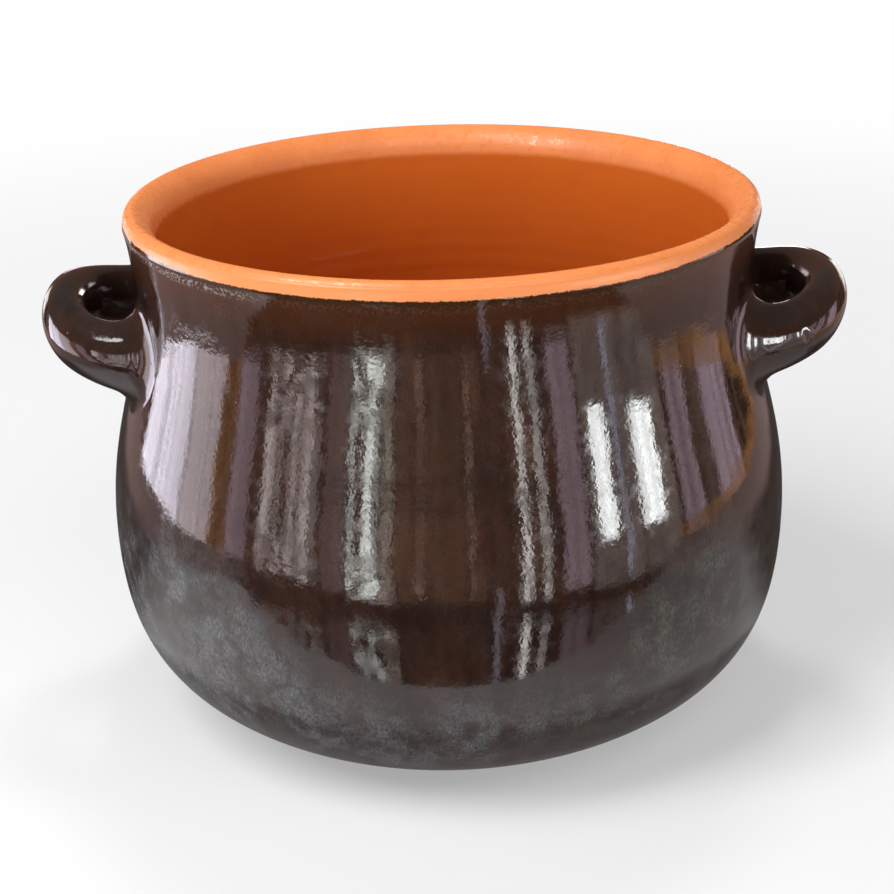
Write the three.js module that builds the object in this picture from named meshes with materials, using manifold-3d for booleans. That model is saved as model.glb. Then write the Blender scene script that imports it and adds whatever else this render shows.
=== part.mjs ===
// A glazed terracotta stew pot: a thrown, round-bellied body with a flared lip, and two loop handles luted
// to its shoulder with slip. Brown glaze covers the outside and the handles, clear glaze the inside and the
// lip. Millimetres, +Z up. The origin is on the table under the middle of the pot, and the handles lie
// along X.
import * as THREE from "three";
import { LoftGeometry } from "three/addons/geometries/LoftGeometry.js";
import { mergeVertices } from "three/addons/utils/BufferGeometryUtils.js";
import Module from "manifold-3d";

// Sizes of the finished body, over its glaze
const BASE_RADIUS = 62; // where the belly lifts off the table
const BASE_SLOPE_DEG = 23; // how steeply it lifts there
const BELLY_RADIUS = 100; // the widest ring
const BELLY_HEIGHT = 58; // the widest ring above the table
const SHOULDER_RISE = 72; // from the widest ring up to the waist of the neck
const NECK_RADIUS = 88.4; // the waist of the neck
const FLARE_RISE = 17.5; // from the waist up to the edge of the brown glaze
const RIM_FLARE = 1.6; // that edge lies this far outside the waist
const LIP_RISE = 4.5; // from that edge up to the crest of the lip
const LIP_ROUND = 3; // the crest lies this far inside that edge
const LIP_DEPTH = 8.6; // the slanted face of the lip, from its crest down to the wall inside
const LIP_CROWN = 1.5; // the bulge of that face
const WALL = 8; // the wall from glaze to glaze
const FLOOR = 8; // the floor at the middle

// Fullness of the body's curves: the share of its span that each end of a curve runs straight on
const BASE_FULLNESS = 0.775;
const BELLY_FULLNESS = 0.552;
const SHOULDER_FULLNESS = 0.43;
const NECK_FULLNESS = 0.39;
const FLARE_FULLNESS = 0.6;

// Sizes of a handle, over its glaze
const ROLL_WIDTH = 13.5; // the roll of clay, measured level
const ROLL_HEIGHT = 18; // and upright
const HANDLE_SPAN = 57; // between the middles of its two roots
const HANDLE_REACH = 20; // from the wall to the middle of the roll at its far end
const HANDLE_DROP = 16; // its roots lie below the waist of the neck
const HANDLE_LIFT = 6; // its far end lies above its roots
const HANDLE_FULLNESS = 0.62;
const ROOT_SPREAD = 2.8; // the roll grows all round by this much at the wall
const ROOT_LENGTH = 16; // and starts to grow this far from it
const SLIP = 1.5; // the bed of slip between a root and the wall

// Glaze, and the seats between pieces
const GLAZE = 0.5; // thickness of both glazes
const SEAT_GAP = 0.3; // clearance between pieces that lie on each other
const BARE_FOOT = 2; // height of the unglazed band at the base

// Fineness of the facets
const TURN_STEPS = 40;
const BOWL_STEPS = 7;
const SHOULDER_STEPS = 7;
const FLARE_STEPS = 3;
const LIP_STEPS = 3;
const ROLL_SIDES = 12;
const LOOP_STEPS = 12;

// Finishes
const TERRACOTTA = { color: 0xc4713f, roughness: 0.9, metalness: 0 };
const DRIED_SLIP = { color: 0xb8683a, roughness: 0.95, metalness: 0 };
const CLEAR_OVER_CLAY = { color: 0xd0692a, roughness: 0.15, metalness: 0 };
const BROWN = { color: 0x35190f, roughness: 0.1, metalness: 0 };

// The way each handle faces, as a turn about the pot's axis from +X
const SIDES = { right: 0, left: Math.PI };

const NECK_HEIGHT = BELLY_HEIGHT + SHOULDER_RISE;
const RIM_HEIGHT = NECK_HEIGHT + FLARE_RISE;
const RIM_RADIUS = NECK_RADIUS + RIM_FLARE;
const CREST_HEIGHT = RIM_HEIGHT + LIP_RISE;
const CLAY_DEPTH = GLAZE + SEAT_GAP; // from the finished surface down to the clay
const UP = new THREE.Vector3(0, 0, 1);

const wasm = await Module();
wasm.setup();

// A point of a profile: its radius from the pot's axis, and its height.
function at(radius, height) {
  return new THREE.Vector2(radius, height);
}

// A profile moved into the clay by a distance, mitred at each point. Profiles run up the outside of the
// pot, over the lip and down the inside, so the clay is on their left.
function sunk(profile, distance) {
  const intoClay = (i) => {
    const along = profile[i + 1].clone().sub(profile[i]).normalize();
    return at(-along.y, along.x);
  };
  const last = profile.length - 1;
  return profile.map((point, i) => {
    const mitre = intoClay(Math.max(i - 1, 0)).add(intoClay(Math.min(i, last - 1)));
    return point.clone().addScaledVector(mitre, (2 * distance) / mitre.lengthSq());
  });
}

// The place where a rising profile first passes a height, and the index of the next point.
function crossing(profile, height) {
  const next = profile.findIndex((point) => point.y > height);
  const [low, high] = [profile[next - 1], profile[next]];
  return { next, cut: low.clone().lerp(high, (height - low.y) / (high.y - low.y)) };
}

// A rising profile from a height upwards.
function above(profile, height) {
  const { next, cut } = crossing(profile, height);
  return [cut, ...profile.slice(next)];
}

// A rising profile up to a height.
function below(profile, height) {
  const { next, cut } = crossing(profile, height);
  return [...profile.slice(0, next), cut];
}

// The finished outside, from the table up to the edge of the brown glaze: a full bowl, a long shoulder
// drawn in to the waist, and a short flare.
function outsideProfile() {
  const base = at(BASE_RADIUS, 0);
  const belly = at(BELLY_RADIUS, BELLY_HEIGHT);
  const waist = at(NECK_RADIUS, NECK_HEIGHT);
  const rim = at(RIM_RADIUS, RIM_HEIGHT);
  const baseRun = BASE_FULLNESS * (BELLY_RADIUS - BASE_RADIUS);
  const baseRise = baseRun * Math.tan(THREE.MathUtils.degToRad(BASE_SLOPE_DEG));
  const bowl = new THREE.CubicBezierCurve(
    base,
    at(BASE_RADIUS + baseRun, baseRise),
    at(BELLY_RADIUS, BELLY_HEIGHT * (1 - BELLY_FULLNESS)),
    belly,
  );
  const shoulder = new THREE.CubicBezierCurve(
    belly,
    at(BELLY_RADIUS, BELLY_HEIGHT + SHOULDER_FULLNESS * SHOULDER_RISE),
    at(NECK_RADIUS, NECK_HEIGHT - NECK_FULLNESS * SHOULDER_RISE),
    waist,
  );
  const bend = at(NECK_RADIUS, NECK_HEIGHT + FLARE_FULLNESS * FLARE_RISE);
  const flare = new THREE.QuadraticBezierCurve(waist, bend, rim);
  return [
    ...bowl.getPoints(BOWL_STEPS),
    ...shoulder.getPoints(SHOULDER_STEPS).slice(1),
    ...flare.getPoints(FLARE_STEPS).slice(1),
  ];
}

// The finished inside, from the middle of the floor up to the inner edge of the lip: the outside moved in
// by the wall, and ended at the floor.
function insideProfile(outside) {
  const wall = sunk(outside, WALL);
  const risen = [at(wall[0].x, 0), ...wall];
  return [at(0, FLOOR), ...above(below(risen, CREST_HEIGHT - LIP_DEPTH), FLOOR)];
}

// The finished lip, from the edge of the brown glaze over the crest to its inner edge.
function lipProfile(rim, innerEdge) {
  const crest = at(RIM_RADIUS - LIP_ROUND, CREST_HEIGHT);
  const round = new THREE.QuadraticBezierCurve(rim, at(RIM_RADIUS, CREST_HEIGHT), crest);
  const slope = innerEdge.clone().sub(crest).normalize();
  const middle = crest.clone().lerp(innerEdge, 1 / 2);
  const bulge = middle.addScaledVector(at(slope.y, -slope.x), 2 * LIP_CROWN);
  const face = new THREE.QuadraticBezierCurve(crest, bulge, innerEdge);
  return [...round.getPoints(LIP_STEPS), ...face.getPoints(LIP_STEPS).slice(1)];
}

// A profile turned about the pot's axis.
function turned(profile) {
  return new THREE.LatheGeometry(profile, TURN_STEPS).rotateX(Math.PI / 2);
}

// A closed surface as a solid that can be joined and cut.
function solidOf(geometry) {
  const bare = new THREE.BufferGeometry();
  bare.setAttribute("position", geometry.getAttribute("position"));
  bare.setIndex(geometry.getIndex());
  const merged = mergeVertices(bare);
  const vertProperties = merged.attributes.position.array;
  const triVerts = new Uint32Array(merged.index.array);
  return new wasm.Manifold(new wasm.Mesh({ numProp: 3, vertProperties, triVerts }));
}

// A solid back as a surface to draw.
function surfaceOf(solid) {
  const { vertProperties, triVerts } = solid.getMesh();
  const geometry = new THREE.BufferGeometry();
  geometry.setAttribute("position", new THREE.BufferAttribute(vertProperties, 3));
  geometry.setIndex(new THREE.BufferAttribute(triVerts, 1));
  geometry.computeVertexNormals();
  return geometry;
}

const outside = outsideProfile();
const inside = insideProfile(outside);
const lip = lipProfile(outside.at(-1), inside.at(-1));

// The solid core of the pot under a depth of its outside, run on past the base and the rim so that it
// cuts clean.
function core(depth) {
  const side = sunk(outside, depth);
  const overrun = 2 * CLAY_DEPTH;
  const foot = at(side[0].x, -overrun);
  const top = at(side.at(-1).x, CREST_HEIGHT + overrun);
  return solidOf(turned([at(0, foot.y), foot, ...side, top, at(0, top.y)]));
}

// The thrown body: a flat base, the wall and the lip, under both glazes.
function clayBody() {
  const skin = [...outside, ...lip.slice(1, -1), ...inside.toReversed()];
  return turned([at(0, 0), at(BASE_RADIUS - CLAY_DEPTH, 0), ...sunk(skin, CLAY_DEPTH)]);
}

// Clear glaze: one coat from the edge of the brown glaze over the lip and down the inside.
function clearGlaze() {
  const face = [...above(lip, RIM_HEIGHT + SEAT_GAP), ...inside.toReversed().slice(1)];
  return turned([...sunk(face, GLAZE).toReversed(), ...face]);
}

// The middle line of half a handle on the +X side, and the place where it leaves the wall. It comes
// straight out of its root and bends round to the far end of the loop, rising a little.
function handleLine() {
  const rootHeight = NECK_HEIGHT - HANDLE_DROP;
  const wallRadius = crossing(outside, rootHeight).cut.x;
  const halfSpan = HANDLE_SPAN / 2;
  const wallX = Math.sqrt(wallRadius ** 2 - halfSpan ** 2);
  const farX = wallRadius + HANDLE_REACH;
  const farHeight = rootHeight + HANDLE_LIFT;
  const bend = new THREE.CubicBezierCurve3(
    new THREE.Vector3(wallX, -halfSpan, rootHeight),
    new THREE.Vector3(wallX + HANDLE_FULLNESS * (farX - wallX), -halfSpan, rootHeight),
    new THREE.Vector3(farX, -HANDLE_FULLNESS * halfSpan, farHeight),
    new THREE.Vector3(farX, 0, farHeight),
  );
  return { bend, wallX };
}

// Stations along the whole loop, from one root to the other: the middle of the roll, its direction and how
// far the roll has grown. It grows towards the wall on a parabola, where its ends are pressed and smoothed
// on. The first and last stations are buried in the wall.
function handleStations() {
  const { bend, wallX } = handleLine();
  const station = (middle, along) => {
    const nearness = THREE.MathUtils.clamp(1 - (middle.x - wallX) / ROOT_LENGTH, 0, 1);
    return { middle, along, growth: ROOT_SPREAD * nearness ** 2 };
  };
  const outOfWall = bend.getTangent(0);
  const buried = bend.getPoint(0).addScaledVector(outOfWall, -(ROLL_WIDTH + ROOT_SPREAD));
  const half = [station(buried, outOfWall)];
  for (let i = 0; i <= LOOP_STEPS; i += 1) {
    const share = i / LOOP_STEPS;
    half.push(station(bend.getPointAt(share), bend.getTangentAt(share)));
  }
  const otherHalf = half.slice(0, -1).toReversed().map(({ middle, along, growth }) => ({
    middle: middle.clone().setY(-middle.y),
    along: new THREE.Vector3(-along.x, along.y, -along.z),
    growth,
  }));
  return [...half, ...otherHalf];
}

// The roll of one handle under a depth of its finished surface, lofted through oval rings. It faces +X
// turned by an angle about the pot's axis.
function roll(depth, facing) {
  const rings = handleStations().map(({ middle, along, growth }) => {
    const level = new THREE.Vector3().crossVectors(UP, along).normalize();
    const upright = new THREE.Vector3().crossVectors(along, level);
    return Array.from({ length: ROLL_SIDES }, (_, i) => {
      const angle = (2 * Math.PI * i) / ROLL_SIDES;
      const across = (ROLL_WIDTH / 2 + growth - depth) * Math.cos(angle);
      const rise = (ROLL_HEIGHT / 2 + growth - depth) * Math.sin(angle);
      return middle.clone().addScaledVector(level, across).addScaledVector(upright, rise);
    });
  });
  return solidOf(new LoftGeometry(rings, { capStart: true, capEnd: true }).rotateZ(facing));
}

// Brown glaze: one coat over the outside of the body and both handles, open at the base and at the lip,
// with a hole where the clay of each root passes through to the wall.
function brownGlaze() {
  const facings = Object.values(SIDES);
  const side = [at(0, BARE_FOOT), ...above(outside, BARE_FOOT), at(0, RIM_HEIGHT)];
  let coat = solidOf(turned(side));
  for (const facing of facings) coat = coat.add(roll(0, facing));
  coat = coat.subtract(core(GLAZE));
  for (const facing of facings) coat = coat.subtract(roll(GLAZE, facing));
  return surfaceOf(coat);
}

// A mesh with its own material.
function piece(name, geometry, finish) {
  const mesh = new THREE.Mesh(geometry, new THREE.MeshStandardMaterial(finish));
  mesh.name = name;
  return mesh;
}

// One handle and the two beds of slip that join it to the wall, front (-Y) and back.
function handleSet(side, facing) {
  const clay = roll(CLAY_DEPTH, facing);
  const bedFoot = CLAY_DEPTH - SEAT_GAP;
  const bedFace = bedFoot - SLIP;
  const beds = clay.intersect(core(bedFace)).subtract(core(bedFoot)).decompose();
  const [front, back] = beds.toSorted((a, b) => a.boundingBox().min[1] - b.boundingBox().min[1]);
  const set = new THREE.Group();
  set.add(piece(`${side}_handle`, surfaceOf(clay.subtract(core(bedFace - SEAT_GAP))), TERRACOTTA));
  set.add(piece(`${side}_front_slip`, surfaceOf(front), DRIED_SLIP));
  set.add(piece(`${side}_back_slip`, surfaceOf(back), DRIED_SLIP));
  return set;
}

const pot = new THREE.Group();
pot.add(piece("clay_body", clayBody(), TERRACOTTA));
pot.add(piece("clear_glaze", clearGlaze(), CLEAR_OVER_CLAY));
pot.add(piece("brown_glaze", brownGlaze(), BROWN));
for (const [side, facing] of Object.entries(SIDES)) pot.add(handleSet(side, facing));

export default pot;
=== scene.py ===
"""Looks of a glazed terracotta stew pot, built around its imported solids.

The pot is a body of red clay, thrown on the wheel, with a loop handle on either side. Brown glaze covers the
outside, and clear glaze the inside and the lip. All sizes are in metres, in the frame of the solids: +Z up,
the handles along X, the front at -Y, and the origin on the table under the middle of the pot.
"""

import logging
import math
from dataclasses import dataclass
from enum import Enum
from functools import cache, cached_property
from typing import Callable

import bpy
import numpy as np
from bpy.types import ID, Material, Node, NodeSocket, NodeTree, Object
from mathutils import Matrix, Vector
from numpy.typing import NDArray


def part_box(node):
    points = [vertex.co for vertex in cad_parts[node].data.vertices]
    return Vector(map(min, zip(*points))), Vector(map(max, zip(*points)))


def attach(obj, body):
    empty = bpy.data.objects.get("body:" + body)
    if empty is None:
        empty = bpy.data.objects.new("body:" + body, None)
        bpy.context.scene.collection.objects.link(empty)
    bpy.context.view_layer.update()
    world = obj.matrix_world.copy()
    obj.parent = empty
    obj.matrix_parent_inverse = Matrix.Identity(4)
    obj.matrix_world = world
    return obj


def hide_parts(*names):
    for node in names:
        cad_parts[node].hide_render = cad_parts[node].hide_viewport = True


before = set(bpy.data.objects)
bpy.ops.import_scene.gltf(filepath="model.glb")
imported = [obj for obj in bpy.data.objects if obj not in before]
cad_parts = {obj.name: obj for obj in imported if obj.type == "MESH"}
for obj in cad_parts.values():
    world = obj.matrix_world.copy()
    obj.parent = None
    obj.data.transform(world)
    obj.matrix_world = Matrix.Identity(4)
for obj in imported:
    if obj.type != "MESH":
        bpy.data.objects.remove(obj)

Array = NDArray[np.float64]
Corners = NDArray[np.int64]
Colour = tuple[float, float, float]
Value = NodeSocket | float
Triple = NodeSocket | Colour

MM = 0.001
BODY = "root"
log = logging.getLogger("pot")


class Ends(Enum):
    """How the first and last rows of a grid of points are closed."""

    LOOP = "the last row joins the first"
    CAPS = "each is closed by a fan round its middle"


class Side(Enum):
    """The way that a handle faces, as a turn about the pot's axis from +X."""

    RIGHT = 0.0
    LEFT = math.pi

    @property
    def word(self) -> str:
        """The side's name, as it stands in the names of the pieces."""
        return self.name.lower()


@dataclass(frozen=True)
class Ramp:
    """A smooth step from a start at low to an end at high, held outside them. High may lie below low."""

    low: float
    high: float
    start: float = 0.0
    end: float = 1.0

    @classmethod
    def about(cls, edge: float, softness: float) -> "Ramp":
        """A step up about an edge, or down with a negative softness, which is its reach to either side."""
        return cls(edge - softness, edge + softness)


@dataclass(frozen=True)
class Wave:
    """A cosine wave over an angle and a place along something, each of which turns it by its own amount."""

    height: float
    by_angle: float
    along: float = 0.0
    phase: float = 0.0

    def at(self, angle: Array, place: Array) -> Array:
        """The wave's height: its largest one times the cosine of what both turn it by, plus its phase."""
        return self.height * np.cos(self.by_angle * angle + self.along * place + self.phase)


def bezier(controls: list[tuple[float, ...]], steps: int = 200) -> Array:
    """Points along a Bezier curve: its controls weighted by the Bernstein polynomials, at even steps of t.

    Args:
        controls: The control points, of any one dimension.
        steps: How many steps the curve is cut into.

    Returns:
        The points, one a row.
    """
    t = np.linspace(0, 1, steps + 1)[:, None]
    degree = len(controls) - 1
    weights = [math.comb(degree, k) * t**k * (1 - t) ** (degree - k) for k in range(degree + 1)]
    return sum(weight * np.array(control) for weight, control in zip(weights, controls))


def run_of(line: Array) -> Array:
    """The length along a line of points, from its start to each point."""
    return np.concatenate([[0], np.cumsum(np.linalg.norm(np.diff(line, axis=0), axis=1))])


def at_runs(values: Array, runs: Array, own: Array) -> Array:
    """Values along a line at given lengths along it, straight between those at its own lengths."""
    return np.stack([np.interp(runs, own, column) for column in values.T], axis=-1)


def spaced(line: Array, pitch: float) -> Array:
    """A line cut again into even steps of about one pitch."""
    own = run_of(line)
    return at_runs(line, np.linspace(0, own[-1], max(2, round(own[-1] / pitch) + 1)), own)


def softened(line: Array, reach: float) -> Array:
    """A line with its corners rounded: each point becomes the mean of the points around it.

    The mean is weighted by a bell curve along the line. Past either end the line is taken to run straight
    on, so the ends stay where they are.

    Args:
        line: Points at even steps.
        reach: The standard deviation of the bell curve.

    Returns:
        As many points as before.
    """
    step = run_of(line)[-1] / (len(line) - 1)
    span = max(1, math.ceil(3 * reach / step))
    bell = np.exp(-0.5 * (np.arange(-span, span + 1) * step / reach) ** 2)
    before = 2 * line[0] - line[span:0:-1]
    after = 2 * line[-1] - line[-2 : -span - 2 : -1]
    padded = np.concatenate([before, line, after])
    return np.stack([np.convolve(column, bell / bell.sum(), "valid") for column in padded.T], axis=-1)


def sunk(profile: Array, depth: float) -> Array:
    """A profile moved into the clay, which lies to the left of its way, along its normals."""
    along = np.gradient(profile, axis=0)
    along /= np.linalg.norm(along, axis=1, keepdims=True)
    return profile + depth * np.stack([-along[:, 1], along[:, 0]], axis=-1)


def faded(distance: Array, reach: float) -> Array:
    """A share that grows evenly from 0 at no distance to 1 at the end of its reach, and is held outside."""
    return np.clip(distance / reach, 0, 1)


def ragged(angle: Array, waves: tuple[int, ...] = (3, 7, 12, 19, 31, 47, 68)) -> Array:
    """An uneven line round the pot, from about -1 to 1: a sum of waves, each at a phase of its own."""
    total = sum(np.cos(wave * angle + 2.4 * wave**1.5) / math.sqrt(wave) for wave in waves)
    return total / sum(1 / math.sqrt(wave) for wave in waves)


def full_turn(columns: int) -> Array:
    """The angles of a ring of points, as one row."""
    return np.linspace(0, 2 * np.pi, columns, endpoint=False)[None, :]


def around(radius: Array, angle: Array, height: Array) -> Array:
    """Points round the pot's axis: radius r, angle a and height h go to (r cos a, r sin a, h)."""
    return np.stack([radius * np.cos(angle), radius * np.sin(angle), height], axis=-1)


def turned(profile: Array, columns: int, swell: Callable[[Array, Array], Array] | None = None) -> Array:
    """A profile carried once round the pot's axis.

    Args:
        profile: Radius and height of each row.
        columns: How many points each ring has.
        swell: What is added to the radius, from angle and height. It fades over the last 20 mm to the axis.

    Returns:
        A grid of points: rows, columns, coordinates.
    """
    angle = full_turn(columns)
    radius, height = (np.repeat(column[:, None], columns, axis=1) for column in profile.T)
    if swell:
        radius = radius + swell(angle, height) * faded(radius, 20 * MM)
    return around(radius, angle, height)


def faces_of(rows: int, columns: int, ends: Ends) -> tuple[Corners, Corners]:
    """The faces of a grid that is closed round its columns.

    Each quad joins a point to its neighbours in the next row and column. With caps, two more points follow
    the grid's own, and each is the middle of a fan of triangles on the first or the last row.

    Args:
        rows: Rows of the grid.
        columns: Columns of the grid.
        ends: How the first and the last row are closed.

    Returns:
        The corners of the quads, and of the triangles.
    """
    index = np.arange(rows * columns).reshape(rows, columns)
    here, above = (index, np.roll(index, -1, axis=0)) if ends is Ends.LOOP else (index[:-1], index[1:])
    quads = np.stack([here, np.roll(here, -1, 1), np.roll(above, -1, 1), above], axis=-1).reshape(-1, 4)
    if ends is Ends.LOOP:
        return quads, np.empty((0, 3), np.int64)
    first, last = index[0], index[-1]
    low = np.stack([np.full(columns, rows * columns), np.roll(first, -1), first], axis=-1)
    high = np.stack([np.full(columns, rows * columns + 1), last, np.roll(last, -1)], axis=-1)
    return quads, np.concatenate([low, high])


def linked(name: str, data: ID) -> Object:
    """Makes an object of a mesh, a lamp or a camera and links it to the scene."""
    holder = bpy.data.objects.new(name, data)
    bpy.context.scene.collection.objects.link(holder)
    return holder


def dressed(piece: Object, material: Material) -> None:
    """Gives a piece one material in place of any that it has."""
    piece.data.materials.clear()
    piece.data.materials.append(material)


def piece_of(name: str, grid: Array, ends: Ends, material: Material) -> Object:
    """Makes a smooth closed mesh of a grid of points, links it to the scene and dresses it.

    The faces are turned outward by the sign of the volume that they enclose, which is a sixth of the triple
    products of all triangles' corners.

    Args:
        name: The piece's name.
        grid: Points by rows, columns and coordinates.
        ends: How the first and the last row are closed.
        material: Its finish.

    Returns:
        The new object, at the origin.
    """
    rows, columns, _ = grid.shape
    quads, fans = faces_of(rows, columns, ends)
    points = grid.reshape(-1, 3)
    if ends is Ends.CAPS:
        points = np.concatenate([points, [grid[0].mean(0), grid[-1].mean(0)]])
    a, b, c = points[np.concatenate([quads[:, :3], quads[:, [0, 2, 3]], fans])].transpose(1, 0, 2)
    if np.einsum("ij,ij->", a, np.cross(b, c)) < 0:
        quads, fans = quads[:, ::-1], fans[:, ::-1]
    mesh = bpy.data.meshes.new(name)
    mesh.from_pydata(points.tolist(), [], quads.tolist() + fans.tolist())
    mesh.shade_smooth()
    piece = linked(name, mesh)
    dressed(piece, material)
    return piece


def shown(piece: Object, slot: str, *nodes: str) -> None:
    """Lets a new piece ride on the pot and stand for solids.

    Args:
        piece: The new piece.
        slot: Not used. The record's material slot that its finish belongs to.
        nodes: The solids that it stands for.
    """
    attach(piece, BODY)
    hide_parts(*nodes)
    log.info("%s: %d faces, in place of %s", piece.name, len(piece.data.polygons), ", ".join(nodes))


class Tree:
    """Adds nodes to the tree of one material or node group."""

    def __init__(self, nodes: NodeTree) -> None:
        """Takes the tree that nodes are added to."""
        self.tree = nodes

    def feed(self, node: Node, inputs: dict) -> Node:
        """Sets or links inputs of a node.

        Args:
            node: The node.
            inputs: What each input is set to or, for an output socket, linked from. Colours need no alpha.

        Returns:
            The same node.
        """
        for key, value in inputs.items():
            socket = node.inputs[key]
            if isinstance(value, NodeSocket):
                self.tree.links.new(value, socket)
            else:
                socket.default_value = (*value, 1.0) if socket.type == "RGBA" else value
        return node

    def add(self, kind: str, inputs: dict | None = None, **settings: object) -> Node:
        """Adds one node.

        Args:
            kind: The node's type without its ShaderNode prefix.
            inputs: What its inputs are set to or linked from.
            settings: Properties of the node.

        Returns:
            The new node.
        """
        node = self.tree.nodes.new(kind if kind.startswith("NodeGroup") else "ShaderNode" + kind)
        for key, value in settings.items():
            setattr(node, key, value)
        return self.feed(node, inputs or {})

    def placed(self, group: NodeTree, **inputs: Value) -> NodeSocket:
        """The result of a node group that is placed with its own values."""
        return self.add("Group", inputs, node_tree=group).outputs[0]

    def math(self, operation: str, *values: Value) -> NodeSocket:
        """The result of a Math node on up to three values or sockets."""
        return self.add("Math", dict(enumerate(values)), operation=operation).outputs[0]

    def vector(self, operation: str, *values: Triple) -> NodeSocket:
        """The result of a Vector Math node: a number for a length or a dot product, or else a vector."""
        outputs = self.add("VectorMath", dict(enumerate(values)), operation=operation).outputs
        return outputs["Value" if operation in ("LENGTH", "DOT_PRODUCT") else "Vector"]

    def times(self, first: Value, *others: Value) -> NodeSocket:
        """The product of values or sockets."""
        for other in others:
            first = self.math("MULTIPLY", first, other)
        return first

    def most(self, first: Value, *others: Value) -> NodeSocket:
        """The largest of values or sockets."""
        for other in others:
            first = self.math("MAXIMUM", first, other)
        return first

    def ramp(self, value: NodeSocket, ramp: Ramp) -> NodeSocket:
        """A value carried along a ramp."""
        (low, start), (high, end) = sorted([(ramp.low, ramp.start), (ramp.high, ramp.end)])
        inputs = {"Value": value, "From Min": low, "From Max": high, "To Min": start, "To Max": end}
        return self.add("MapRange", inputs, interpolation_type="SMOOTHSTEP").outputs[0]

    def noise(self, where: NodeSocket, size: Value, detail: float = 2.0, rough: float = 0.5,
              distortion: float = 0.0) -> NodeSocket:
        """Cloudy noise whose blots are about one size across.

        Args:
            where: Coordinates in metres.
            size: The size of a blot in metres, as a value or a socket.
            detail: How many finer layers it has.
            rough: How strong they are.
            distortion: How far the blots are pulled about.

        Returns:
            The socket with values round a half.
        """
        scale = self.math("DIVIDE", 1.0, size) if isinstance(size, NodeSocket) else 1 / size
        inputs = {"Vector": where, "Scale": scale, "Detail": detail, "Roughness": rough,
                  "Distortion": distortion}
        return self.add("TexNoise", inputs).outputs[0]

    def layered(self, colour: Triple, *layers: tuple[NodeSocket, Triple]) -> NodeSocket:
        """A colour with others laid over it, each by a share of its own."""
        for share, over in layers:
            colour = self.add("Mix", {0: share, 6: colour, 7: over}, data_type="RGBA").outputs[2]
        return colour

    def closed(self, result: NodeSocket) -> NodeTree:
        """Gives a node group its result, and returns the group."""
        self.add("NodeGroupOutput", {0: result})
        return self.tree


def new_group(name: str, result: str, *values: str) -> tuple[Tree, dict[str, NodeSocket]]:
    """Starts a shader node group that reads coordinates and plain values, and has one result.

    Args:
        name: The group's name.
        result: The name of its result.
        values: The names of the plain values. The coordinates are named Where.

    Returns:
        Its tree, and the sockets of what it reads by their names.
    """
    group = bpy.data.node_groups.new(name, "ShaderNodeTree")
    group.interface.new_socket("Where", in_out="INPUT", socket_type="NodeSocketVector")
    for value in values:
        group.interface.new_socket(value, in_out="INPUT", socket_type="NodeSocketFloat")
    group.interface.new_socket(result, in_out="OUTPUT", socket_type="NodeSocketFloat")
    tree = Tree(group)
    return tree, {socket.name: socket for socket in tree.add("NodeGroupInput").outputs}


@cache
def orange_peel(slowness: float = 6.25) -> NodeTree:
    """Orange peel of a fired glaze: fine dimples with slower waves under them. It is built once.

    Args:
        slowness: The size of a wave, in dimples.

    Returns:
        A group that gives the height from coordinates, the size of a dimple and the share of the waves.
    """
    tree, given = new_group("orange_peel", "Height", "Size", "Waves")
    fine = tree.noise(given["Where"], given["Size"], 1.5)
    slow = tree.noise(given["Where"], tree.times(given["Size"], slowness), 0.0)
    return tree.closed(tree.math("MULTIPLY_ADD", slow, given["Waves"], fine))


@cache
def scattered_specks(least: float = 0.35, hardness: float = 3.0) -> NodeTree:
    """Scattered specks and pinholes: small round spots in some cells of a Voronoi pattern. It is built once.

    Args:
        least: The least radius of a speck, as a share of the radius that the group is given.
        hardness: How steeply a speck ends.

    Returns:
        A group that gives a mask from coordinates, the size of a cell, the share of cells that hold a speck
        and the radius of a speck in cells.
    """
    tree, given = new_group("specks", "Mask", "Size", "Share", "Radius")
    cells = tree.add("TexVoronoi", {"Vector": given["Where"], "Randomness": 1.0,
                                    "Scale": tree.math("DIVIDE", 1.0, given["Size"])}).outputs
    lot = tree.add("SeparateColor", {"Color": cells["Color"]}).outputs
    drawn = tree.math("LESS_THAN", lot[0], given["Share"])
    radius = tree.times(given["Radius"], tree.math("ADD", lot[1], least))
    near = tree.math("SUBTRACT", 1.0, tree.math("DIVIDE", cells["Distance"], radius))
    soft = tree.add("Clamp", {"Value": tree.times(near, hardness)}).outputs[0]
    return tree.closed(tree.times(drawn, soft))


@cache
def fired_mottle() -> NodeTree:
    """Mottling of a fired surface: slow clouds with finer blots on them. It is built once.

    Returns:
        A group that gives a value round a half from coordinates and the size of a cloud.
    """
    tree, given = new_group("mottle", "Value", "Size")
    return tree.closed(tree.noise(given["Where"], given["Size"], 4.0, 0.6, 0.4))


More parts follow.
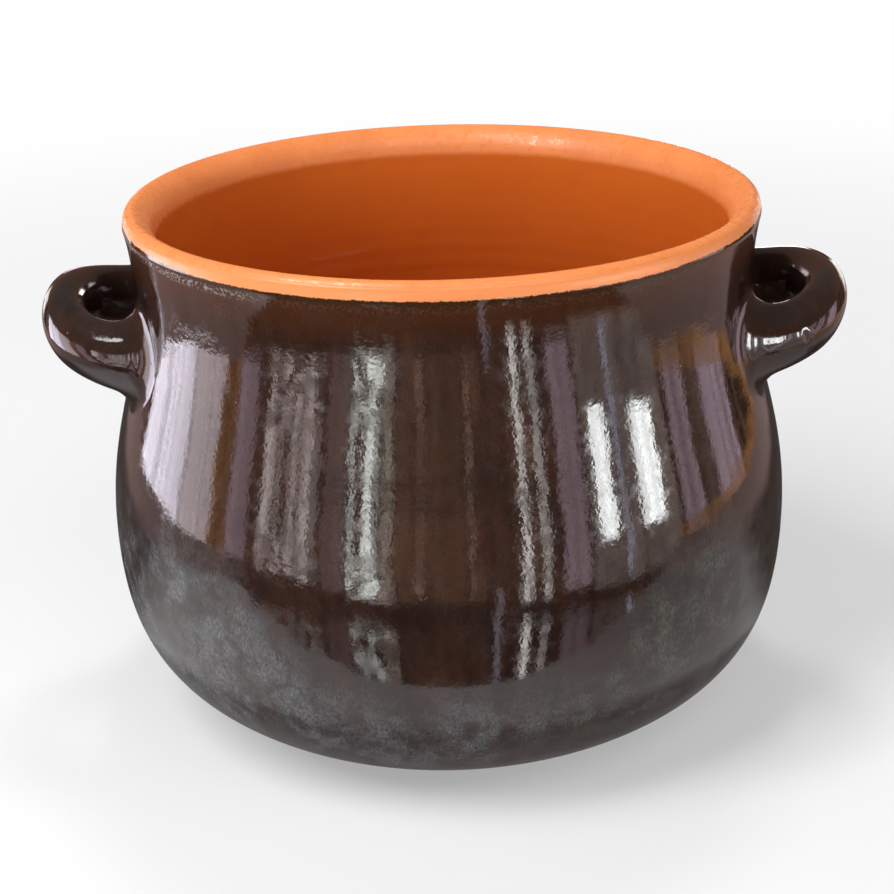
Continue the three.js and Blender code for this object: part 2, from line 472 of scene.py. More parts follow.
class Surface:
    """A new material with a Principled shader, whose patterns lie in the pot's frame."""

    def __init__(self, name: str) -> None:
        """Starts the material under its name."""
        self.material = bpy.data.materials.new(name)
        self.material.use_nodes = True
        self.tree = Tree(self.material.node_tree)
        self.shader = self.material.node_tree.nodes["Principled BSDF"]
        self.where = self.tree.add("TexCoord").outputs["Object"]

    @cached_property
    def parts(self) -> tuple[NodeSocket, ...]:
        """The coordinates one by one: X, Y and Z."""
        return tuple(self.tree.add("SeparateXYZ", {"Vector": self.where}).outputs)

    def level(self) -> NodeSocket:
        """The coordinates without their height."""
        return self.tree.vector("MULTIPLY", self.where, (1.0, 1.0, 0.0))

    def upright(self, squash: float) -> NodeSocket:
        """The coordinates with their heights squashed, on which patterns run long and upright."""
        return self.tree.add("Mapping", {"Vector": self.where, "Scale": (1.0, 1.0, squash)}).outputs[0]

    def mottle(self, size: float) -> NodeSocket:
        """Mottling with clouds of one size."""
        return self.tree.placed(fired_mottle(), Where=self.where, Size=size)

    def coated(self, colour: NodeSocket, dull: NodeSocket, relief: NodeSocket, depth: float, ior: float
               ) -> Material:
        """Feeds the shader.

        Args:
            colour: The colour.
            dull: The roughness.
            relief: The height of the relief.
            depth: The depth of the relief at a height of 1.
            ior: The index of refraction.

        Returns:
            The finished material.
        """
        bump = self.tree.add("Bump", {"Height": relief, "Distance": depth, "Strength": 1.0}).outputs[0]
        self.tree.feed(self.shader, {"Base Color": colour, "Roughness": dull, "IOR": ior, "Normal": bump})
        return self.material

    def shining(self, share: NodeSocket, under: NodeSocket, colour: Triple) -> Material:
        """Lays light of its own over another shader.

        Args:
            share: The share of the light.
            under: The other shader.
            colour: The light's colour.

        Returns:
            The finished material.
        """
        light = self.tree.add("Emission", {"Color": colour, "Strength": 1.0}).outputs[0]
        mix = self.tree.add("MixShader", {0: share, 1: under, 2: light}).outputs[0]
        self.tree.feed(self.material.node_tree.nodes["Material Output"], {"Surface": mix})
        return self.material


@dataclass(frozen=True)
class Blots:
    """Noise carried along a ramp: its size, the ramp, its finer layers and how far it is squashed."""

    size: float
    ramp: Ramp
    detail: float = 2.0
    rough: float = 0.5
    squash: float = 0.0

    def on(self, surface: Surface) -> NodeSocket:
        """Their share on a surface."""
        where = surface.upright(self.squash) if self.squash else surface.where
        return surface.tree.ramp(surface.tree.noise(where, self.size, self.detail, self.rough), self.ramp)


@dataclass(frozen=True)
class Specks:
    """Specks in cells: the size of a cell, the share of cells that hold one, and its radius in cells."""

    size: float
    share: float
    radius: float

    def on(self, surface: Surface) -> NodeSocket:
        """Their mask on a surface."""
        return surface.tree.placed(scattered_specks(), Where=surface.where, Size=self.size, Share=self.share,
                                   Radius=self.radius)


@dataclass(frozen=True)
class Peel:
    """Orange peel: the size of a dimple, the share of its waves and its depth."""

    size: float
    waves: float
    depth: float

    def on(self, surface: Surface) -> NodeSocket:
        """Its height on a surface."""
        return surface.tree.placed(orange_peel(), Where=surface.where, Size=self.size, Waves=self.waves)


@dataclass(frozen=True)
class GlazeLine:
    """Where the brown glaze ends under the lip: lower at the front and back than over the handles."""

    height: float
    lift: float = 2.0 * MM
    wander: tuple[tuple[float, float], ...] = (
        (22 * MM, 0.8 * MM), (2.2 * MM, 0.7 * MM), (0.6 * MM, 0.8 * MM))

    def above(self, surface: Surface) -> NodeSocket:
        """How far a place lies above the line, which also wanders in blots of three sizes.

        Args:
            surface: The glaze's surface.

        Returns:
            The socket with the distance. The line rises with the fourth power of the cosine of the angle.
        """
        tree = surface.tree
        x, y, z = surface.parts
        across, along = tree.times(x, x), tree.times(y, y)
        square = tree.math("DIVIDE", across, tree.math("ADD", across, along))
        rise = tree.times(square, square, self.lift)
        above = tree.math("SUBTRACT", tree.math("SUBTRACT", z, self.height), rise)
        for size, reach in self.wander:
            blots = tree.math("SUBTRACT", tree.noise(surface.where, size), 0.5)
            above = tree.math("MULTIPLY_ADD", blots, reach, above)
        return above


@dataclass(frozen=True)
class BloomAndTableReflection:
    """Grey film low on the belly of the brown glaze: partly a real bloom of fine crystals, partly a painted
    reflection of the pale table; thick low on the belly, and thin above it.
    """

    # Grey colours of the film, which hold a painted reflection of the table.
    left: Colour = (0.118, 0.119, 0.126)
    right: Colour = (0.112, 0.118, 0.098)
    to_right: Ramp = Ramp(-10 * MM, 50 * MM)
    side_rise: Ramp = Ramp(30 * MM, 64 * MM, 0.0, 34 * MM)
    upward: Ramp = Ramp(26 * MM, 52 * MM, 0.94, 0.05)
    rightward: Ramp = Ramp(-15 * MM, 55 * MM, 1.0, 0.56)
    from_foot: Ramp = Ramp(5 * MM, 28 * MM, 0.5, 1.0)
    backward: Ramp = Ramp(-25 * MM, 30 * MM, 1.0, 0.45)
    blot_size: float = 6 * MM
    blots: Ramp = Ramp(0.34, 0.62, 0.25, 1.05)
    streaks: Blots = Blots(0.55 * MM, Ramp(0.34, 0.66, 0.35, 1.25), 3.0, 0.65, squash=0.45)
    patches: Blots = Blots(20 * MM, Ramp(0.38, 0.58, 0.35, 1.0), 3.0, 0.6)
    dark_specks: Specks = Specks(2.6 * MM, 0.4, 0.16)
    worn_spots: Specks = Specks(15 * MM, 0.45, 0.20)
    wear: float = 0.6

    def share(self, surface: Surface) -> NodeSocket:
        """How much of it lies at a place.

        Args:
            surface: The brown glaze's surface.

        Returns:
            The socket with the share: a product of ramps over the pot, broken by blots, streaks and specks.
        """
        tree = surface.tree
        x, y, z = surface.parts
        rise = tree.ramp(tree.math("ABSOLUTE", x), self.side_rise)
        bare = tree.most(self.dark_specks.on(surface), tree.times(self.worn_spots.on(surface), self.wear))
        # The ramps lay the painted table reflection thickest low on the belly, at the front, to the left and
        # higher up the sides.
        return tree.times(
            tree.ramp(tree.math("SUBTRACT", z, rise), self.upward),
            tree.ramp(x, self.rightward),
            tree.ramp(z, self.from_foot),
            tree.ramp(y, self.backward),
            tree.ramp(surface.mottle(self.blot_size), self.blots),
            self.streaks.on(surface),
            self.patches.on(surface),
            tree.math("SUBTRACT", 1.0, bare))

    def colour(self, surface: Surface) -> NodeSocket:
        """Its colour, grey with the painted table reflection in it, which turns olive towards the right."""
        to_right = surface.tree.ramp(surface.parts[0], self.to_right)
        return surface.tree.layered(self.left, (to_right, self.right))


@dataclass(frozen=True)
class BrownGlaze:
    """Dark brown glaze, glossy, with orange peel, runs, pinholes, a bloom that holds a painted table
    reflection, and a nibbled edge under the lip.
    """

    thick: Colour = (0.016, 0.0074, 0.0056)
    thin: Colour = (0.036, 0.0140, 0.0086)
    drawn: Colour = (0.080, 0.0235, 0.0062)
    edge: Colour = (0.030, 0.020, 0.007)
    scuffed: Colour = (0.33, 0.28, 0.26)
    bloom_and_reflection: BloomAndTableReflection = BloomAndTableReflection()
    cloud_size: float = 24 * MM
    run_size: float = 3.5 * MM
    run_squash: float = 0.12
    run_share: float = 0.4
    thinning: Ramp = Ramp(0.34, 0.66)
    drawing: Ramp = Ramp(-16 * MM, -1 * MM, 0.0, 0.8)
    grains: Blots = Blots(0.6 * MM, Ramp(0.40, 0.70, 0.0, 0.45), 3.0, 0.7)
    fringe_band: Ramp = Ramp(-2.2 * MM, -0.5 * MM)
    fringe_stipple: Blots = Blots(0.9 * MM, Ramp(0.34, 0.58, 1.0, 0.3))
    scuff_way: tuple[float, float, float] = (-0.77, -0.64, 0.0)
    scuff_reach: Ramp = Ramp(83 * MM, 88.5 * MM, 0.06, 0.9)
    scuff_foot: Ramp = Ramp(-4.2 * MM, -2.4 * MM)
    scuff_top: Ramp = Ramp(-1.0 * MM, -1.8 * MM)
    scuff_specks: Blots = Blots(0.8 * MM, Ramp(0.50, 0.60))
    bare_edge: Ramp = Ramp(-0.05 * MM, 0.25 * MM)
    dullness: Blots = Blots(3.0 * MM, Ramp(0.40, 0.75, 0.05, 0.16), 4.0, 0.65)
    bloom_and_reflection_dullness: float = 0.16
    bare_dullness: float = 0.28
    pinholes: Specks = Specks(5 * MM, 0.22, 0.08)
    pinhole_depth: float = 2.5
    peel: Peel = Peel(1.2 * MM, 2.6, 0.020 * MM)
    ior: float = 1.58

    def made(self, line: GlazeLine, lip: Colour) -> Material:
        """Makes the material.

        Args:
            line: Where the glaze ends under the lip.
            lip: The colour of the lip, with its painted light, which shows past its edge.

        Returns:
            The material.
        """
        surface = Surface("brown_glaze")
        tree = surface.tree
        past = line.above(surface)
        # The grey film is partly bloom and partly a painted reflection of the table.
        film_and_reflection, bare = self.bloom_and_reflection.share(surface), tree.ramp(past, self.bare_edge)
        colour = tree.layered(self.brown(surface, past), (film_and_reflection, self.bloom_and_reflection.colour(surface)),
                              (self.fringe(surface, past), self.edge),
                              (self.scuffs(surface, past), self.scuffed), (bare, lip))
        dull = tree.math("MULTIPLY_ADD", film_and_reflection, self.bloom_and_reflection_dullness, self.dullness.on(surface))
        dull = tree.math("MULTIPLY_ADD", bare, self.bare_dullness, dull)
        holes = tree.times(self.pinholes.on(surface), self.pinhole_depth)
        relief = tree.math("SUBTRACT", self.peel.on(surface), holes)
        return surface.coated(colour, dull, relief, self.peel.depth, self.ior)

    def brown(self, surface: Surface, past: NodeSocket) -> NodeSocket:
        """The glaze's own colour.

        Args:
            surface: The material's surface.
            past: Distance above the glaze's edge.

        Returns:
            The colour: thinner in clouds and upright runs, drawn thin under the lip, and finely grained.
        """
        tree = surface.tree
        clouds = tree.times(surface.mottle(self.cloud_size), 1.0 - self.run_share)
        runs = tree.noise(surface.upright(self.run_squash), self.run_size)
        runs = tree.math("MULTIPLY_ADD", runs, self.run_share, clouds)
        return tree.layered(self.thick, (tree.ramp(runs, self.thinning), self.thin),
                            (tree.ramp(past, self.drawing), self.drawn),
                            (self.grains.on(surface), self.thick))

    def fringe(self, surface: Surface, past: NodeSocket) -> NodeSocket:
        """The share of the dark olive fringe along the glaze's edge, stippled and about 1.5 mm deep."""
        return surface.tree.times(surface.tree.ramp(past, self.fringe_band), self.fringe_stipple.on(surface))

    def scuffs(self, surface: Surface, past: NodeSocket) -> NodeSocket:
        """The share of pale worn specks just under the edge, where the front left was rubbed."""
        tree = surface.tree
        rubbed = tree.ramp(tree.vector("DOT_PRODUCT", surface.where, self.scuff_way), self.scuff_reach)
        return tree.times(tree.ramp(past, self.scuff_foot), tree.ramp(past, self.scuff_top), rubbed,
                          self.scuff_specks.on(surface))


@dataclass(frozen=True)
class ClearGlaze:
    """Clear glaze over red clay: painted lighter on the lip, partly for the light from above and its sheen,
    and painted darker towards the floor inside, for the shade there; with throwing rings and soft gloss.
    """

    # lip holds painted light from above and sheen; deep is painted shade towards the floor, and also the
    # glaze's own darker clouds.
    lip: Colour = (0.92, 0.290, 0.088)
    wall: Colour = (0.66, 0.145, 0.019)
    deep: Colour = (0.52, 0.100, 0.012)
    pit: Colour = (0.30, 0.08, 0.02)
    cloud_size: float = 18 * MM
    clouds: Ramp = Ramp(0.35, 0.75, 0.0, 0.2)
    lip_wander: float = 1.2 * MM
    lip_start: float = -0.4 * MM
    lip_end: float = 1.8 * MM
    pits: Specks = Specks(11 * MM, 0.07, 0.06)
    pit_share: float = 0.6
    pit_depth: float = 1.5
    ring_pitch: float = 3.4 * MM
    ring_lean: float = 0.6
    ring_breaks: float = 1 / 60
    ring_height: float = 4.0
    grain_size: float = 0.7 * MM
    grain_height: float = 2.2
    peel: Peel = Peel(1.0 * MM, 1.5, 0.013 * MM)
    dullness: Blots = Blots(6 * MM, Ramp(0.4, 0.7, 0.12, 0.22), 3.0)
    lip_dullness: Blots = Blots(2.5 * MM, Ramp(0.48, 0.62, 0.30, 0.03), 3.0)
    ior: float = 1.5

    def made(self, lip_foot: float, floor: float) -> Material:
        """Makes the material.

        Args:
            lip_foot: The height of the lip's inner edge.
            floor: The height of the pot's floor.

        Returns:
            The material.
        """
        surface = Surface("clear_glaze_over_clay")
        tree, height = surface.tree, surface.parts[2]
        clouds, pits = surface.mottle(self.cloud_size), self.pits.on(surface)
        edge = tree.math("MULTIPLY_ADD", clouds, self.lip_wander, height)
        lip = tree.ramp(edge, Ramp(lip_foot + self.lip_start, lip_foot + self.lip_end))
        # Painted shade: the wall darkens to deep towards the floor. Painted light: the lip is lighter than
        # the wall.
        colour = tree.layered(self.deep, (tree.ramp(height, Ramp(floor, lip_foot)), self.wall),
                              (lip, self.lip), (tree.ramp(clouds, self.clouds), self.deep),
                              (tree.times(pits, self.pit_share), self.pit))
        grains = tree.times(tree.noise(surface.where, self.grain_size, 1.0), lip)
        relief = self.peel.on(surface)
        for form, rise in ((self.rings(surface), self.ring_height), (pits, -self.pit_depth),
                           (grains, self.grain_height)):
            relief = tree.math("MULTIPLY_ADD", form, rise, relief)
        dull = tree.math("MULTIPLY_ADD", lip, self.lip_dullness.on(surface), self.dullness.on(surface))
        return surface.coated(colour, dull, relief, self.peel.depth, self.ior)

    def rings(self, surface: Surface) -> NodeSocket:
        """Throwing rings: uneven level ridges that the fingers leave on a turning wall.

        Args:
            surface: The material's surface.

        Returns:
            Their height: noise over the height and a share of the radius, broken by slow blots.
        """
        tree = surface.tree
        radius = tree.vector("LENGTH", surface.level())
        inputs = {"W": tree.math("MULTIPLY_ADD", radius, self.ring_lean, surface.parts[2]),
                  "Scale": 1 / self.ring_pitch, "Detail": 3.0, "Roughness": 0.62}
        lines = tree.add("TexNoise", inputs, noise_dimensions="1D").outputs[0]
        return tree.times(lines, tree.noise(surface.where, self.ring_breaks, 1.0))


@dataclass(frozen=True)
class BareClay:
    """Bare fired clay, matt and grainy: the foot, and the pieces that the glaze hides."""

    name: str
    pale: Colour
    dark: Colour
    grain: float
    cloud_size: float = 14 * MM
    clouds: Ramp = Ramp(0.35, 0.7)
    grog: Specks = Specks(2.2 * MM, 0.3, 0.22)
    grog_share: float = 0.55
    depth: float = 0.12 * MM
    dullness: Ramp = Ramp(0.3, 0.7, 0.78, 0.95)
    ior: float = 1.45

    def made(self) -> Material:
        """Makes the material.

        Returns:
            The material: clouds of two colours, with sunk dark specks of grog.
        """
        surface = Surface(self.name)
        tree = surface.tree
        clouds, grog = surface.mottle(self.cloud_size), self.grog.on(surface)
        colour = tree.layered(self.pale, (tree.ramp(clouds, self.clouds), self.dark),
                              (tree.times(grog, self.grog_share), self.dark))
        relief = tree.math("SUBTRACT", tree.noise(surface.where, self.grain, 4.0, 0.7), grog)
        return surface.coated(colour, tree.ramp(clouds, self.dullness), relief, self.depth, self.ior)


@dataclass(frozen=True)
class ThrownForm:
    """The finished form of the thrown body, over its glaze."""

    belly_radius: float
    rim_height: float
    crest_height: float
    base_radius: float = 62 * MM
    base_slope: float = math.radians(23)
    belly_height: float = 58 * MM
    neck_radius: float = 88.4 * MM
    flare_rise: float = 17.5 * MM
    rim_flare: float = 1.6 * MM
    lip_round: float = 3 * MM
    lip_depth: float = 8.6 * MM
    lip_crown: float = 1.5 * MM
    lip_softness: float = 0.7 * MM
    wall: float = 8 * MM
    floor: float = 8 * MM
    floor_softness: float = 2.5 * MM
    axis_hole: float = 1 * MM
    base_fullness: float = 0.775
    belly_fullness: float = 0.552
    shoulder_fullness: float = 0.43
    neck_fullness: float = 0.39
    flare_fullness: float = 0.6
    pitch: float = 0.25 * MM
    strays: tuple[Wave, ...] = (
        Wave(0.20 * MM, 2, phase=-0.6), Wave(0.10 * MM, 3, phase=1.9), Wave(0.06 * MM, 5, 40, 2.0),
        Wave(0.010 * MM, 1, 2 * math.pi / (7.5 * MM)))

    @classmethod
    def from_frame(cls) -> "ThrownForm":
        """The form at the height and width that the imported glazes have."""
        outer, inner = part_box("brown_glaze")[1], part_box("clear_glaze")[1]
        return cls(belly_radius=outer.y, rim_height=outer.z, crest_height=inner.z)

    @property
    def neck_height(self) -> float:
        """Height of the waist of the neck."""
        return self.rim_height - self.flare_rise

    @property
    def rim_radius(self) -> float:
        """Radius of the edge of the brown glaze."""
        return self.neck_radius + self.rim_flare

    @property
    def lip_foot(self) -> float:
        """Height of the lip's inner edge."""
        return self.crest_height - self.lip_depth

    def outside(self) -> Array:
        """The outside from the table to the brown glaze's edge: a full bowl, a long shoulder, a short flare.

        Returns:
            Radius and height of points at even steps along two cubic curves and a quadratic one.
        """
        rise = self.neck_height - self.belly_height
        run = self.base_fullness * (self.belly_radius - self.base_radius)
        bowl = bezier([(self.base_radius, 0), (self.base_radius + run, run * math.tan(self.base_slope)),
                       (self.belly_radius, self.belly_height * (1 - self.belly_fullness)),
                       (self.belly_radius, self.belly_height)])
        shoulder = bezier([bowl[-1], (self.belly_radius, self.belly_height + self.shoulder_fullness * rise),
                           (self.neck_radius, self.neck_height - self.neck_fullness * rise),
                           (self.neck_radius, self.neck_height)])
        bend = (self.neck_radius, self.neck_height + self.flare_fullness * self.flare_rise)
        flare = bezier([shoulder[-1], bend, (self.rim_radius, self.rim_height)])
        return spaced(np.concatenate([bowl, shoulder[1:], flare[1:]]), self.pitch)

    def inside(self) -> Array:
        """The inside from the lip's inner edge to the middle of the floor: the outside moved in by the wall.

        Returns:
            Radius and height of points at even steps, rounded where the wall meets the floor.
        """
        wall = sunk(self.outside(), self.wall)
        wall = wall[(wall[:, 1] > self.floor) & (wall[:, 1] < self.lip_foot)][::-1]
        line = np.concatenate([wall, [(wall[-1, 0], self.floor), (self.axis_hole, self.floor)]])
        return softened(spaced(line, self.pitch), self.floor_softness)

    def lip(self) -> Array:
        """The lip from the brown glaze's edge over its crest to its inner edge.

        Returns:
            Radius and height of points on two quadratic curves: a small round, and a crowned slanting face.
        """
        crest = np.array([self.rim_radius - self.lip_round, self.crest_height])
        inner = self.inside()[0]
        round_off = bezier([(self.rim_radius, self.rim_height), (self.rim_radius, self.crest_height), crest])
        slope = (inner - crest) / np.linalg.norm(inner - crest)
        bulge = (crest + inner) / 2 + 2 * self.lip_crown * np.array([slope[1], -slope[0]])
        return spaced(np.concatenate([round_off, bezier([crest, bulge, inner])[1:]]), self.pitch)

    def over_lip(self) -> Array:
        """The skin from the brown glaze's edge over the lip and down the inside, with soft edges."""
        line = np.concatenate([self.lip(), self.inside()[1:]])
        return softened(spaced(line, self.pitch), self.lip_softness)

    def radius_at(self, height: Array) -> Array:
        """The outside's radius at heights from the table up to the round of the lip."""
        skin = self.over_lip()
        line = np.concatenate([self.outside(), skin[1 : int(skin[:, 1].argmax())]])
        return np.interp(height, line[:, 1], line[:, 0])

    def by_hand(self, angle: Array, height: Array) -> Array:
        """How far the wall strays from true round: the sum of slight waves round it and up it."""
        return sum(wave.at(angle, height) for wave in self.strays)


@dataclass(frozen=True)
class ThrownBody:
    """The thrown body with its two glazes."""

    form: ThrownForm
    columns: int = 360
    glaze: float = 0.45 * MM
    glaze_gap: float = 0.05 * MM
    corner_height: float = 0.3 * MM
    corner_width: float = 0.9 * MM
    corner_bend: float = 0.2 * MM
    corner_steps: int = 6
    base_pitch: float = 0.8 * MM
    skin_pitch: float = 2.2 * MM
    wire_pitch: float = 5.5 * MM
    wire_depth: float = 0.10 * MM
    wire_reach: float = 0.2 * MM
    wire_margin: float = 3 * MM
    wire_fade: float = 2 * MM
    wire_middle: tuple[float, float] = (0.4, -1.2)
    foot_line: float = 2.0 * MM
    foot_wander: float = 0.7 * MM
    foot_reach: float = 2 * MM
    coat_pitch: float = 1.15 * MM
    overlap: float = 3.2 * MM
    overlap_rows: int = 12
    back_stride: int = 8
    tuck: float = 0.12 * MM
    tuck_reach: float = 0.4 * MM
    clear_sink: float = 0.07 * MM
    clear_reach: float = 0.5 * MM
    fine_depth: float = 4 * MM
    lip_pitch: float = 0.45 * MM
    inside_pitch: float = 1.4 * MM
    back_pitch: float = 4 * MM
    spiral: Wave = Wave(0.05 * MM, 1, 2 * math.pi / (6.5 * MM))
    spiral_fade: float = 30 * MM

    def clay(self) -> Array:
        """The clay under the glazes: underside, outside, lip and inside as one turned profile.

        The underside carries the shallow curved ridges of the wire that cut it from the wheel: waves of the
        distance from a point outside the base, pressed upward, so that the base still stands flat.

        Returns:
            A grid of points.
        """
        skin = np.concatenate([self.form.outside(), self.form.over_lip()[1:]])
        skin = sunk(skin, self.glaze + self.glaze_gap)
        skin = skin[(skin[:, 1] > self.corner_height) & (skin[:, 0] > 0)]
        edge = skin[0, 0]
        base = np.array([(self.form.axis_hole, 0), (edge - self.corner_width, 0)])
        corner = bezier([tuple(base[1]), (edge - self.corner_bend, 0), tuple(skin[0])], self.corner_steps)
        rows = spaced(base, self.base_pitch), corner[1:-1], spaced(skin, self.skin_pitch)
        grid = turned(np.concatenate(rows), self.columns, self.form.by_hand)
        x, y, z = np.moveaxis(grid, -1, 0)
        base_radius = self.form.base_radius
        reach = np.hypot(*(place - base_radius * share for place, share in zip((x, y), self.wire_middle)))
        under = 1 - faded(z, self.wire_reach)
        under *= faded(base_radius - self.wire_margin - np.hypot(x, y), self.wire_fade)
        grid[..., 2] += under * self.wire_depth * (0.5 - 0.5 * np.cos(2 * np.pi * reach / self.wire_pitch))
        return grid

    def brown_coat(self) -> Array:
        """The brown coat on the outside, as a thin shell that is closed in a loop over both its edges.

        A point goes to the wall's radius at its height, less its depth. The lower edge wanders up and down
        round the foot, and the upper one tucks in under the skin of the lip.

        Returns:
            A grid of points.
        """
        angle = full_turn(self.columns)
        outside = self.form.outside()
        top = self.form.rim_height + self.overlap
        rows = spaced(outside[outside[:, 1] > self.foot_line], self.coat_pitch)[:, 1]
        rows = np.concatenate([rows, np.linspace(rows[-1], top, self.overlap_rows)[1:]])
        back = rows[:: -self.back_stride]
        level = np.concatenate([rows, back])[:, None]
        depth = np.concatenate([np.zeros_like(rows), np.full_like(back, self.glaze)])[:, None]
        depth = depth + self.tuck * faded(level - top + self.tuck_reach, self.tuck_reach)
        wander = self.foot_wander * ragged(angle) * np.exp(-(level - self.foot_line) / self.foot_reach)
        height = level + wander
        return around(self.form.radius_at(height) + self.form.by_hand(angle, height) - depth, angle, height)

    def clear_coat(self) -> Array:
        """The clear coat over the lip and the inside, as a thin shell with its edge under the brown one.

        Returns:
            A grid of points, with fine rows over the lip and wider ones below it.
        """
        face = self.form.over_lip()
        crest = int(face[:, 1].argmax())
        own = run_of(face)
        sink = faded(self.form.rim_height + self.overlap - face[:, 1], self.clear_reach)
        face[:crest, 0] -= self.clear_sink * sink[:crest]
        lip_end = np.interp(self.fine_depth - self.form.lip_foot, -face[crest:, 1], own[crest:])
        fine = np.linspace(0, lip_end, round(lip_end / self.lip_pitch))
        wide = np.linspace(lip_end, own[-1], round((own[-1] - lip_end) / self.inside_pitch))[1:]
        front = at_runs(face, np.concatenate([fine, wide]), own)
        back = sunk(face, self.glaze)[::-1]
        back = spaced(back[back[:, 0] > self.form.axis_hole], self.back_pitch)
        return turned(np.concatenate([back, front]), self.columns, self.inner_swell)

    def inner_swell(self, angle: Array, height: Array) -> Array:
        """The wall's own strays, and a spiral of finger ridges that fades towards the lip."""
        fade = faded(self.form.lip_foot - height, self.spiral_fade)
        return self.form.by_hand(angle, height) + fade * self.spiral.at(angle, height)

    def build(self, brown: Material, clear: Material, clay: Material) -> None:
        """Makes and dresses the clay and both coats."""
        pot = piece_of("clay_pot", self.clay(), Ends.CAPS, clay)
        shown(pot, "terracotta", "clay_body")
        outer_coat = piece_of("brown_glaze_coat", self.brown_coat(), Ends.LOOP, brown)
        shown(outer_coat, "brown_glaze", "brown_glaze")
        inner_coat = piece_of("clear_glaze_coat", self.clear_coat(), Ends.CAPS, clear)
        shown(inner_coat, "clear_glaze", "clear_glaze")


@dataclass(frozen=True)
class Bubble:
    """A burst glaze bubble on a handle: a ring that stands up round a small hollow."""

    place: float = 0.225
    turn: float = 3.07
    length: float = 0.011
    width: float = 0.34
    rise: float = 0.28 * MM
    ring_width: float = 0.35
    hollow: float = 0.15 * MM
    hollow_width: float = 0.7

    def height(self, place: Array, turn: Array) -> Array:
        """Its height by the place along the roll and the angle round it: a bell-shaped ring less a bell."""
        aside = np.angle(np.exp(1j * (turn - self.turn)))
        off = np.hypot((place - self.place) / self.length, aside / self.width)
        ring = self.rise * np.exp(-(((off - 1) / self.ring_width) ** 2))
        return ring - self.hollow * np.exp(-((off / self.hollow_width) ** 2))


